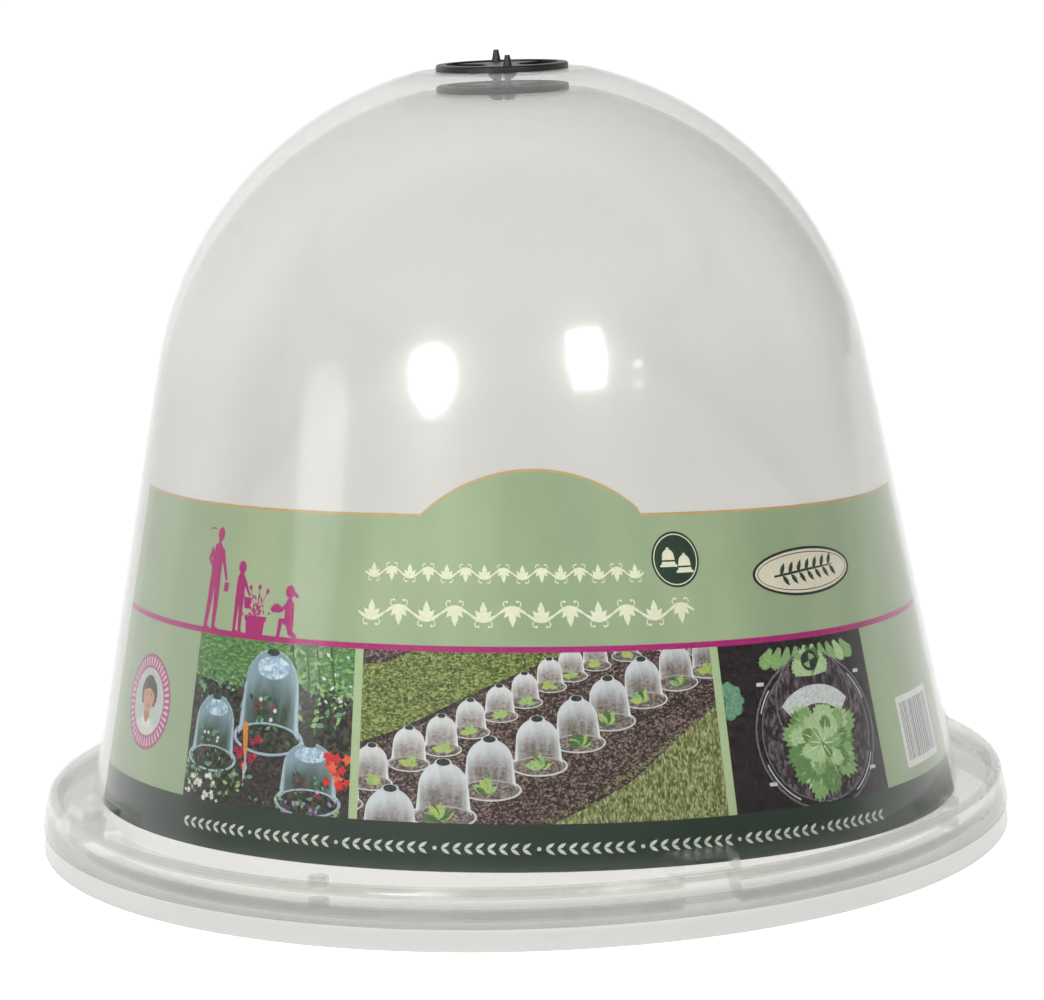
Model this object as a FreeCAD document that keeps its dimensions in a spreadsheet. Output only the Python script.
import FreeCAD, Part
import math
import os
import Sketcher

# Two clear bell cloches nested as a pair, with a printed label card between them and a turning vent on each crown.
# Millimetres. Origin: centre of the lower bell's rim, on the ground. +Z up, -Y towards the front.

DIMENSIONS = {
    # bell, heights measured up from its own rim
    "rim_radius": 235.0,
    "rim_height": 17.0,
    "rim_corner": 3.0,
    "ridge_inner_radius": 227.5,
    "gutter_radius": 224.5,
    "gutter_height": 11.5,
    "cone_angle": 11.18,
    "dome_radius": 172.5,
    "dome_centre_height": 188.6,
    "seat_height": 356.0,
    "shell_thickness": 1.0,
    "nest_pitch": 10.0,
    # hollow lugs that cross the gutter, drawn at half the gutter's height and tapered upwards
    "lug_count": 4,
    "lug_height": 23.0,
    "lug_root_radius": 200.0,
    "lug_end_radius": 229.0,
    "lug_root_width": 38.0,
    "lug_end_width": 31.0,
    "lug_azimuth": 21.0,
    # round bosses in the gutter, each with a ground-peg hole
    "boss_radius": 4.7,
    "boss_height": 5.0,
    "boss_circle_radius": 218.0,
    "boss_azimuth": -25.0,
    "peg_hole_radius": 2.5,
    # vent seat and rotor, rotor heights measured up from the seat
    "window_angle": 80.0,
    "window_inner_radius": 8.5,
    "window_outer_radius": 26.0,
    "hub_hole_radius": 6.0,
    "rotor_azimuth": 5.6,
    "rotor_gap": 0.1,
    "ring_radius": 31.6,
    "ring_inner_radius": 26.8,
    "ring_height": 3.1,
    "ring_corner": 1.2,
    "web_height": 2.4,
    "hub_clearance": 0.05,
    "lip_radius": 6.9,
    "lip_height": 1.0,
    "hub_tip_radius": 5.2,
    "hub_depth": 4.2,
    "hub_slot_width": 1.6,
    "finger_radius": 2.35,
    "finger_groove_radius": 1.95,
    "finger_taper": 9.0,
    "finger_height": 5.0,
    "finger_circle_radius": 27.0,
    # printed label card, heights measured up from the ground
    "card_gap": 0.3,
    "card_thickness": 0.36,
    "card_span": 153.0,
    "card_half_width": 216.0,
    "foot_middle": 27.8,
    "foot_fall": 5.2,
    "foot_bow": 5.8,
    "head_middle": 181.3,
    "head_fall": 7.2,
    "head_bow": 12.2,
    "arch_height": 19.7,
    "arch_half_width": 48.5,
    "card_azimuth": 1.8,
}

FINGER_RIDGES = 8

doc = FreeCAD.newDocument("bell_cloche_pair")
sheet = doc.addObject("Spreadsheet::Sheet", "sheet")
for row, (alias, value) in enumerate(DIMENSIONS.items(), start=1):
    sheet.set(f"A{row}", alias)
    sheet.set(f"B{row}", str(value))
    sheet.setAlias(f"B{row}", alias)
doc.recompute()


def size(expression):
    """The value of an expression on the sheet, as a plain number."""
    return float(sheet.evalExpression(expression))


# Derived sizes of the bell, as expressions on the sheet. The wall is a cone that runs into the dome
# without a corner, so the dome's radius and the cone's angle fix the circle where they meet. The rim and
# the lugs taper by the same angle, which is what lets one bell nest in another.
DOME_CENTRE = "sheet.dome_centre_height"
MEETING_RADIUS = "sheet.dome_radius * cos(sheet.cone_angle)"
MEETING_HEIGHT = f"({DOME_CENTRE} + sheet.dome_radius * sin(sheet.cone_angle))"
SEAT_UNDERSIDE = "(sheet.rotor_gap + sheet.shell_thickness)"


def wall_radius(height):
    """Outside radius of a bell's conical wall at a height above its own rim."""
    return f"{MEETING_RADIUS} + ({MEETING_HEIGHT} - ({height})) * tan(sheet.cone_angle)"


def new_body(name):
    body = doc.addObject("PartDesign::Body", name)
    body.Label = name
    return body


def origin_feature(body, role):
    for feature in body.Origin.OriginFeatures:
        if feature.Role == role:
            return feature
    raise ValueError(role)


def new_sketch(body, name, role, lift=None, turn=0.0):
    """A sketch on one of the body's origin planes, lifted along and turned about the plane's normal."""
    sketch = body.newObject("Sketcher::SketchObject", name)
    sketch.AttachmentSupport = [(origin_feature(body, role), "")]
    sketch.MapMode = "FlatFace"
    normal = FreeCAD.Vector(0, 0, 1)
    sketch.AttachmentOffset = FreeCAD.Placement(FreeCAD.Vector(), FreeCAD.Rotation(normal, turn))
    if lift:
        sketch.setExpression(".AttachmentOffset.Base.z", lift)
    return sketch


def hold_distance(sketch, kind, geometry, point, value, expression):
    """Hold a point's distance from the sketch's origin along X or Y."""
    ends = (-1, 1, geometry, point) if value > 0 else (geometry, point, -1, 1)
    index = sketch.addConstraint(Sketcher.Constraint(kind, *ends, abs(value)))
    sign = "" if value > 0 else "-1 * "
    sketch.setExpression(f"Constraints[{index}]", f"{sign}({expression})")


def hold_point(sketch, geometry, point, corner):
    """Hold a point of the sketch at a corner given as two expressions."""
    across, up = corner
    for kind, axis, expression in (("DistanceX", -2, across), ("DistanceY", -1, up)):
        value = size(expression)
        if abs(value) < 1e-9:
            sketch.addConstraint(Sketcher.Constraint("PointOnObject", geometry, point, axis))
        else:
            hold_distance(sketch, kind, geometry, point, value, expression)


def arc_between(start, end, radius, side):
    """The short arc from start to end. side is 1 when it turns left on its way, -1 when it turns right."""
    chord = end - start
    reach = math.sqrt(max(radius ** 2 - (chord.Length / 2) ** 2, 0.0))
    left = FreeCAD.Vector(-chord.y, chord.x, 0).normalize()
    centre = start + chord * 0.5 + left * (reach * side)
    first, last = (start, end) if side > 0 else (end, start)
    angles = [math.atan2(point.y - centre.y, point.x - centre.x) for point in (first, last)]
    circle = Part.Circle(centre, FreeCAD.Vector(0, 0, 1), radius)
    return Part.ArcOfCircle(circle, *angles)


def draw_outline(sketch, corners, arcs=None):
    """A closed outline through the corners. arcs gives the radius and side of the stretches that are round,
    keyed by the number of the corner they start from."""
    arcs = arcs or {}
    points = [FreeCAD.Vector(size(across), size(up), 0) for across, up in corners]
    starts = []
    for number, point in enumerate(points):
        following = points[(number + 1) % len(points)]
        if number in arcs:
            radius, side = arcs[number]
            geometry = sketch.addGeometry(arc_between(point, following, size(radius), side))
            starts.append((geometry, 1 if side > 0 else 2, 2 if side > 0 else 1))
        else:
            geometry = sketch.addGeometry(Part.LineSegment(point, following))
            starts.append((geometry, 1, 2))
    for number, (geometry, start, end) in enumerate(starts):
        next_geometry, next_start, _ = starts[(number + 1) % len(starts)]
        sketch.addConstraint(Sketcher.Constraint("Coincident", geometry, end, next_geometry, next_start))
        hold_point(sketch, geometry, start, corners[number])
    for number, (radius, _) in arcs.items():
        index = sketch.addConstraint(Sketcher.Constraint("Radius", starts[number][0], size(radius)))
        sketch.setExpression(f"Constraints[{index}]", radius)


def draw_circle(sketch, across, radius):
    """A circle centred on the sketch's X axis."""
    centre = FreeCAD.Vector(size(across), 0, 0)
    geometry = sketch.addGeometry(Part.Circle(centre, FreeCAD.Vector(0, 0, 1), size(radius)))
    hold_point(sketch, geometry, 3, (across, "0"))
    index = sketch.addConstraint(Sketcher.Constraint("Radius", geometry, size(radius)))
    sketch.setExpression(f"Constraints[{index}]", radius)


def revolve(body, name, sketch, kind="Revolution", angle=None):
    """Turn the sketch about its upright axis, to add or, as a Groove, to cut. With no angle it goes all the way
    round, and an angle is shared equally between both sides of the sketch."""
    before = body.Shape.Volume if kind == "Groove" else None
    feature = body.newObject(f"PartDesign::{kind}", name)
    feature.Profile = sketch
    feature.ReferenceAxis = (sketch, ["V_Axis"])
    feature.Angle = 360
    if angle:
        feature.Midplane = True
        feature.setExpression("Angle", angle)
    doc.recompute()
    if before and feature.Shape.Volume >= before - 1e-3:
        raise ValueError(f"{name} cuts nothing")
    return feature


def pad(body, name, sketch, length, taper=None):
    """Raise the sketch along its normal. A taper draws its sides in on the way."""
    feature = body.newObject("PartDesign::Pad", name)
    feature.Profile = sketch
    feature.setExpression("Length", length)
    if taper:
        feature.setExpression("TaperAngle", f"-1 * {taper}")
    doc.recompute()
    return feature


def pocket(body, name, sketch, length, reverse=False, taper=None):
    """Cut the sketch out of the body, against its normal or, in reverse, along it."""
    before = body.Shape.Volume
    feature = body.newObject("PartDesign::Pocket", name)
    feature.Profile = sketch
    feature.Reversed = reverse
    feature.setExpression("Length", length)
    if taper:
        feature.setExpression("TaperAngle", f"-1 * {taper}")
    doc.recompute()
    if feature.Shape.Volume >= before - 1e-3:
        raise ValueError(f"{name} cuts nothing")
    return feature


def repeat(body, name, feature, count):
    """Repeat a feature evenly about the body's upright axis."""
    before = body.Shape.Volume
    pattern = body.newObject("PartDesign::PolarPattern", name)
    pattern.Originals = [feature]
    pattern.Axis = (origin_feature(body, "Z_Axis"), [""])
    pattern.Angle = 360
    pattern.setExpression("Occurrences", count)
    body.Tip = pattern
    doc.recompute()
    if abs(pattern.Shape.Volume - before) < 1e-3:
        raise ValueError(f"{name} changes nothing")
    return pattern


def draw_window(sketch):
    """The fan-shaped opening of a vent, centred on the sketch's X axis."""
    half = "sheet.window_angle / 2"
    inner, outer = "sheet.window_inner_radius", "sheet.window_outer_radius"
    corners = [
        (f"{inner} * cos({half})", f"-1 * {inner} * sin({half})"),
        (f"{outer} * cos({half})", f"-1 * {outer} * sin({half})"),
        (f"{outer} * cos({half})", f"{outer} * sin({half})"),
        (f"{inner} * cos({half})", f"{inner} * sin({half})"),
    ]
    draw_outline(sketch, corners, {1: (outer, 1), 3: (inner, -1)})


def bell_outline(inset):
    """Corners of half of a bell's upright section, moved into the plastic by the inset, and its round stretches."""
    gutter_floor = f"(sheet.gutter_height - {inset})"
    slope_run = "(sheet.ridge_inner_radius - sheet.gutter_radius)"
    slope_rise = "(sheet.rim_height - sheet.gutter_height)"
    slope = f"sqrt(pow({slope_run}; 2) + pow({slope_rise}; 2))"
    slope_shift = f"{inset} * ({slope} - {slope_run}) / {slope_rise}"
    taper_shift = f"{inset} / cos(sheet.cone_angle)"
    corner = f"(sheet.rim_corner - {inset})"
    corner_height = "(sheet.rim_height - sheet.rim_corner)"
    corner_centre = (
        f"(sheet.rim_radius - {corner_height} * tan(sheet.cone_angle) - sheet.rim_corner / cos(sheet.cone_angle))"
    )
    dome = f"(sheet.dome_radius - {inset})"
    seat = f"(sheet.seat_height - {inset})"
    corners = [
        ("0", f"-1 * {inset}"),
        (f"sheet.rim_radius + {inset} * tan(sheet.cone_angle) - {taper_shift}", f"-1 * {inset}"),
        (f"{corner_centre} + {corner} * cos(sheet.cone_angle)",
         f"{corner_height} + {corner} * sin(sheet.cone_angle)"),
        (corner_centre, f"sheet.rim_height - {inset}"),
        (f"sheet.ridge_inner_radius + {slope_shift}", f"sheet.rim_height - {inset}"),
        (f"sheet.gutter_radius + {slope_shift}", gutter_floor),
        (f"{wall_radius(gutter_floor)} - {taper_shift}", gutter_floor),
        (f"{dome} * cos(sheet.cone_angle)", f"{DOME_CENTRE} + {dome} * sin(sheet.cone_angle)"),
        (f"sqrt(pow({dome}; 2) - pow({seat} - {DOME_CENTRE}; 2))", seat),
        ("0", seat),
    ]
    return corners, {2: (corner, 1), 7: (dome, 1)}


def lug_outline(inset):
    """Corners of a lug's plan, along the sketch's X axis and moved into the plastic by the inset."""
    root, end = f"sheet.lug_root_radius + {inset}", f"sheet.lug_end_radius - {inset}"
    half_root, half_end = f"sheet.lug_root_width / 2 - {inset}", f"sheet.lug_end_width / 2 - {inset}"
    return [
        (root, f"-1 * ({half_root})"),
        (end, f"-1 * ({half_end})"),
        (end, half_end),
        (root, half_root),
    ]


def make_bell(name):
    """One bell: its outer form first, then everything one wall thickness inside it cut away, then its holes.
    Its lugs lie along its own X and Y axes."""
    body = new_body(name)
    thickness = "sheet.shell_thickness"
    lug_foot = "sheet.gutter_height / 2"
    boss_turn = size("sheet.boss_azimuth - sheet.lug_azimuth")
    window_turn = size("sheet.rotor_azimuth - sheet.lug_azimuth")

    form_sketch = new_sketch(body, f"{name}_form", "XZ_Plane")
    draw_outline(form_sketch, *bell_outline("0"))
    revolve(body, f"{name}_solid", form_sketch)
    lug_sketch = new_sketch(body, f"{name}_lug_plan", "XY_Plane", lug_foot)
    draw_outline(lug_sketch, lug_outline("0"))
    lug = pad(body, f"{name}_lug", lug_sketch, f"sheet.lug_height - {lug_foot}", taper="sheet.cone_angle")
    repeat(body, f"{name}_lugs", lug, "sheet.lug_count")
    boss_sketch = new_sketch(body, f"{name}_boss_circle", "XY_Plane", "sheet.gutter_height", boss_turn)
    draw_circle(boss_sketch, "sheet.boss_circle_radius", "sheet.boss_radius")
    boss = pad(body, f"{name}_boss", boss_sketch, "sheet.boss_height")
    repeat(body, f"{name}_bosses", boss, "sheet.lug_count")

    hollow_sketch = new_sketch(body, f"{name}_hollow", "XZ_Plane")
    draw_outline(hollow_sketch, *bell_outline(thickness))
    revolve(body, f"{name}_inside", hollow_sketch, kind="Groove")
    lug_hollow_sketch = new_sketch(body, f"{name}_lug_hollow_plan", "XY_Plane", lug_foot)
    draw_outline(lug_hollow_sketch, lug_outline(f"{thickness} / cos(sheet.cone_angle)"))
    lug_hollow = pocket(
        body, f"{name}_lug_hollow", lug_hollow_sketch, f"sheet.lug_height - {lug_foot} - {thickness}",
        reverse=True, taper="sheet.cone_angle")
    repeat(body, f"{name}_lug_hollows", lug_hollow, "sheet.lug_count")
    gutter_underside = f"sheet.gutter_height - {thickness}"
    boss_hollow_sketch = new_sketch(body, f"{name}_boss_hollow_circle", "XY_Plane", gutter_underside, boss_turn)
    draw_circle(boss_hollow_sketch, "sheet.boss_circle_radius", f"sheet.boss_radius - {thickness}")
    boss_hollow = pocket(body, f"{name}_boss_hollow", boss_hollow_sketch, "sheet.boss_height", reverse=True)
    repeat(body, f"{name}_boss_hollows", boss_hollow, "sheet.lug_count")

    hole_lift = "sheet.gutter_height + sheet.boss_height"
    hole_sketch = new_sketch(body, f"{name}_peg_hole_circle", "XY_Plane", hole_lift, boss_turn)
    draw_circle(hole_sketch, "sheet.boss_circle_radius", "sheet.peg_hole_radius")
    hole = pocket(body, f"{name}_peg_hole", hole_sketch, f"2 * {thickness}")
    repeat(body, f"{name}_peg_holes", hole, "sheet.lug_count")
    window_sketch = new_sketch(body, f"{name}_window_fan", "XY_Plane", "sheet.seat_height", window_turn)
    draw_window(window_sketch)
    window = pocket(body, f"{name}_window", window_sketch, f"2 * {thickness}")
    repeat(body, f"{name}_windows", window, "2")
    hub_sketch = new_sketch(body, f"{name}_hub_circle", "XY_Plane", "sheet.seat_height")
    draw_circle(hub_sketch, "0", "sheet.hub_hole_radius")
    pocket(body, f"{name}_hub_hole", hub_sketch, f"2 * {thickness}")
    return body


def finger_corner(number):
    """A corner of the ridged outline of a finger peg, whose ridges and grooves alternate."""
    reach = "sheet.finger_groove_radius" if number % 2 else "sheet.finger_radius"
    turn = 360 / (2 * FINGER_RIDGES) * (number + 0.5)
    return f"sheet.finger_circle_radius + {reach} * cos({turn})", f"{reach} * sin({turn})"


def make_rotor(name):
    """One vent rotor, in one piece. Its finger pegs lie along its own X axis and z is 0 on the bell's seat."""
    body = new_body(name)
    ring_foot = "sheet.rotor_gap"
    ring_top = "sheet.rotor_gap + sheet.ring_height"
    web_top = "sheet.rotor_gap + sheet.web_height"
    hub_radius = "sheet.hub_hole_radius - sheet.hub_clearance"
    lip_top = f"-1 * ({SEAT_UNDERSIDE})"
    lip_foot = f"-1 * ({SEAT_UNDERSIDE} + sheet.lip_height)"
    section_sketch = new_sketch(body, f"{name}_section", "XZ_Plane")
    corners = [
        ("0", "-1 * sheet.hub_depth"),
        ("sheet.hub_tip_radius", "-1 * sheet.hub_depth"),
        ("sheet.lip_radius", lip_foot),
        ("sheet.lip_radius", lip_top),
        (hub_radius, lip_top),
        (hub_radius, ring_foot),
        ("sheet.ring_radius", ring_foot),
        ("sheet.ring_radius", f"{ring_top} - sheet.ring_corner"),
        ("sheet.ring_radius - sheet.ring_corner", ring_top),
        ("sheet.ring_inner_radius", ring_top),
        ("sheet.ring_inner_radius", web_top),
        ("0", web_top),
    ]
    draw_outline(section_sketch, corners, {7: ("sheet.ring_corner", 1)})
    revolve(body, f"{name}_disc", section_sketch)

    window_sketch = new_sketch(body, f"{name}_window_fan", "XY_Plane", ring_top, 90.0)
    draw_window(window_sketch)
    window = pocket(body, f"{name}_window", window_sketch, "sheet.ring_height")
    repeat(body, f"{name}_windows", window, "2")

    finger_sketch = new_sketch(body, f"{name}_finger_star", "XY_Plane", web_top)
    draw_outline(finger_sketch, [finger_corner(number) for number in range(2 * FINGER_RIDGES)])
    finger_length = "sheet.ring_height - sheet.web_height + sheet.finger_height"
    finger = pad(body, f"{name}_finger", finger_sketch, finger_length, taper="sheet.finger_taper")
    repeat(body, f"{name}_fingers", finger, "2")

    slot_lift = "-1 * sheet.hub_depth"
    for number, turn in enumerate((0.0, 90.0), start=1):
        slot_sketch = new_sketch(body, f"{name}_slot_outline_{number}", "XY_Plane", slot_lift, turn)
        reach, half = "sheet.lip_radius + 1", "sheet.hub_slot_width / 2"
        draw_outline(slot_sketch, [
            (f"-1 * ({reach})", f"-1 * ({half})"),
            (reach, f"-1 * ({half})"),
            (reach, half),
            (f"-1 * ({reach})", half),
        ])
        pocket(body, f"{name}_slot_{number}", slot_sketch, "sheet.hub_depth", reverse=True)
    return body


def arc_radius(half_chord, rise):
    """Radius of the arc that stands up by a rise over the middle of a chord."""
    return f"(pow({half_chord}; 2) + pow({rise}; 2)) / (2 * {rise})"


def card_edge(edge, across):
    """Height of the card's foot or head edge, seen from the front, at a distance across towards +X."""
    share = f"({across}) / sheet.card_half_width"
    return f"sheet.{edge}_middle - sheet.{edge}_fall * {share} - sheet.{edge}_bow * pow({share}; 2)"


def make_card(name):
    """The label card, a stretch of the cone. Its arch faces its own -Y, and its edges fall away towards its own +X."""
    body = new_body(name)
    shell = "sheet.shell_thickness / cos(sheet.cone_angle)"
    wide, half, deep = "sheet.card_half_width", "sheet.arch_half_width", "sheet.rim_radius"

    def outside(height):
        return f"{wall_radius(f'{height} - sheet.nest_pitch')} - {shell} - sheet.card_gap"

    def inside(height):
        return f"{outside(height)} - sheet.card_thickness"

    lowest, highest = "0", "(sheet.head_middle + 2 * sheet.arch_height)"
    section = new_sketch(body, f"{name}_section", "YZ_Plane")
    draw_outline(section, [
        (f"-1 * ({inside(lowest)})", lowest),
        (f"-1 * ({outside(lowest)})", lowest),
        (f"-1 * ({outside(highest)})", highest),
        (f"-1 * ({inside(highest)})", highest),
    ])
    revolve(body, f"{name}_band", section, angle="sheet.card_span")

    below = "-1 * sheet.foot_middle"
    foot = new_sketch(body, f"{name}_foot_outline", "XZ_Plane")
    draw_outline(foot, [
        (f"-1 * {wide}", below),
        (wide, below),
        (wide, card_edge("foot", wide)),
        (f"-1 * {wide}", card_edge("foot", f"-1 * {wide}")),
    ], {2: (arc_radius(wide, "sheet.foot_bow"), 1)})
    pocket(body, f"{name}_foot", foot, deep, reverse=True)

    above = f"{highest} + sheet.arch_height"
    edge_arc = (arc_radius(wide, "sheet.head_bow"), -1)
    arch_arc = (arc_radius(half, "sheet.arch_height"), -1)
    head = new_sketch(body, f"{name}_head_outline", "XZ_Plane")
    draw_outline(head, [
        (f"-1 * {wide}", card_edge("head", f"-1 * {wide}")),
        (f"-1 * {half}", card_edge("head", f"-1 * {half}")),
        ("0", "sheet.head_middle + sheet.arch_height"),
        (half, card_edge("head", half)),
        (wide, card_edge("head", wide)),
        (wide, above),
        (f"-1 * {wide}", above),
    ], {0: edge_arc, 1: arch_arc, 2: arch_arc, 3: edge_arc})
    pocket(body, f"{name}_head", head, deep, reverse=True)
    return body


def place(body, azimuth, lift=None):
    """Turn a body from its own X axis to an azimuth counted from the front towards +X, and lift it."""
    turn = FreeCAD.Rotation(FreeCAD.Vector(0, 0, 1), azimuth)
    body.Placement = FreeCAD.Placement(FreeCAD.Vector(), turn)
    if lift:
        body.setExpression(".Placement.Base.z", lift)


FRONT = -90.0

inner_bell = make_bell("inner_bell")
outer_bell = make_bell("outer_bell")
inner_rotor = make_rotor("inner_vent_rotor")
outer_rotor = make_rotor("outer_vent_rotor")
card = make_card("card")

lug_direction = FRONT + size("sheet.lug_azimuth")
rotor_direction = FRONT + size("sheet.rotor_azimuth")
place(inner_bell, lug_direction)
place(outer_bell, lug_direction, "sheet.nest_pitch")
place(inner_rotor, rotor_direction, "sheet.seat_height")
place(outer_rotor, rotor_direction, "sheet.seat_height + sheet.nest_pitch")
place(card, size("sheet.card_azimuth"))
doc.recompute()

for item in doc.Objects:
    if "Invalid" in item.State or "Error" in item.State:
        raise RuntimeError(f"{item.Name} failed: {item.State}")

pieces = [inner_bell, outer_bell, inner_rotor, outer_rotor, card]
for piece in pieces:
    if piece.Shape.isNull() or not piece.Shape.isValid() or len(piece.Shape.Solids) != 1:
        raise RuntimeError(f"{piece.Label} has no valid shape")

os.makedirs("parts", exist_ok=True)
for piece in pieces:
    piece.Shape.exportStep(f"parts/{piece.Label}.step")
    box = piece.Shape.BoundBox
    print(f"{piece.Label}: {piece.Shape.Volume / 1000:.1f} cm3, z {box.ZMin:.1f} to {box.ZMax:.1f}")
